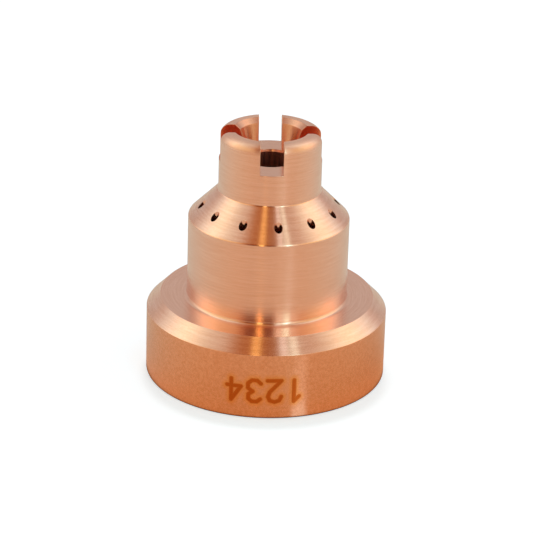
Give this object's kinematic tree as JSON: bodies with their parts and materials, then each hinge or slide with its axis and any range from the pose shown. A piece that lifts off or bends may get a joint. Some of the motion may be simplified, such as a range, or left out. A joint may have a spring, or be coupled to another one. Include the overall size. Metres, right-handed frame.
{
  "type": "plasma torch shield",
  "caption": "Turned copper shield cap for a plasma cutting torch: threaded skirt, plain body, vented cone and a slotted crown round the bore.",
  "frame": {"origin": "centre of the skirt's rim, on the surface that the shield stands on", "axes": "+Z along the turned axis towards the crown; one slot of the crown faces -Y"},
  "size_m": [0.035, 0.035, 0.0372],
  "materials": {
    "copper": "fine turned, bright"
  },
  "bodies": {
    "root": {"shield": "copper"}
  },
  "joints": []
}
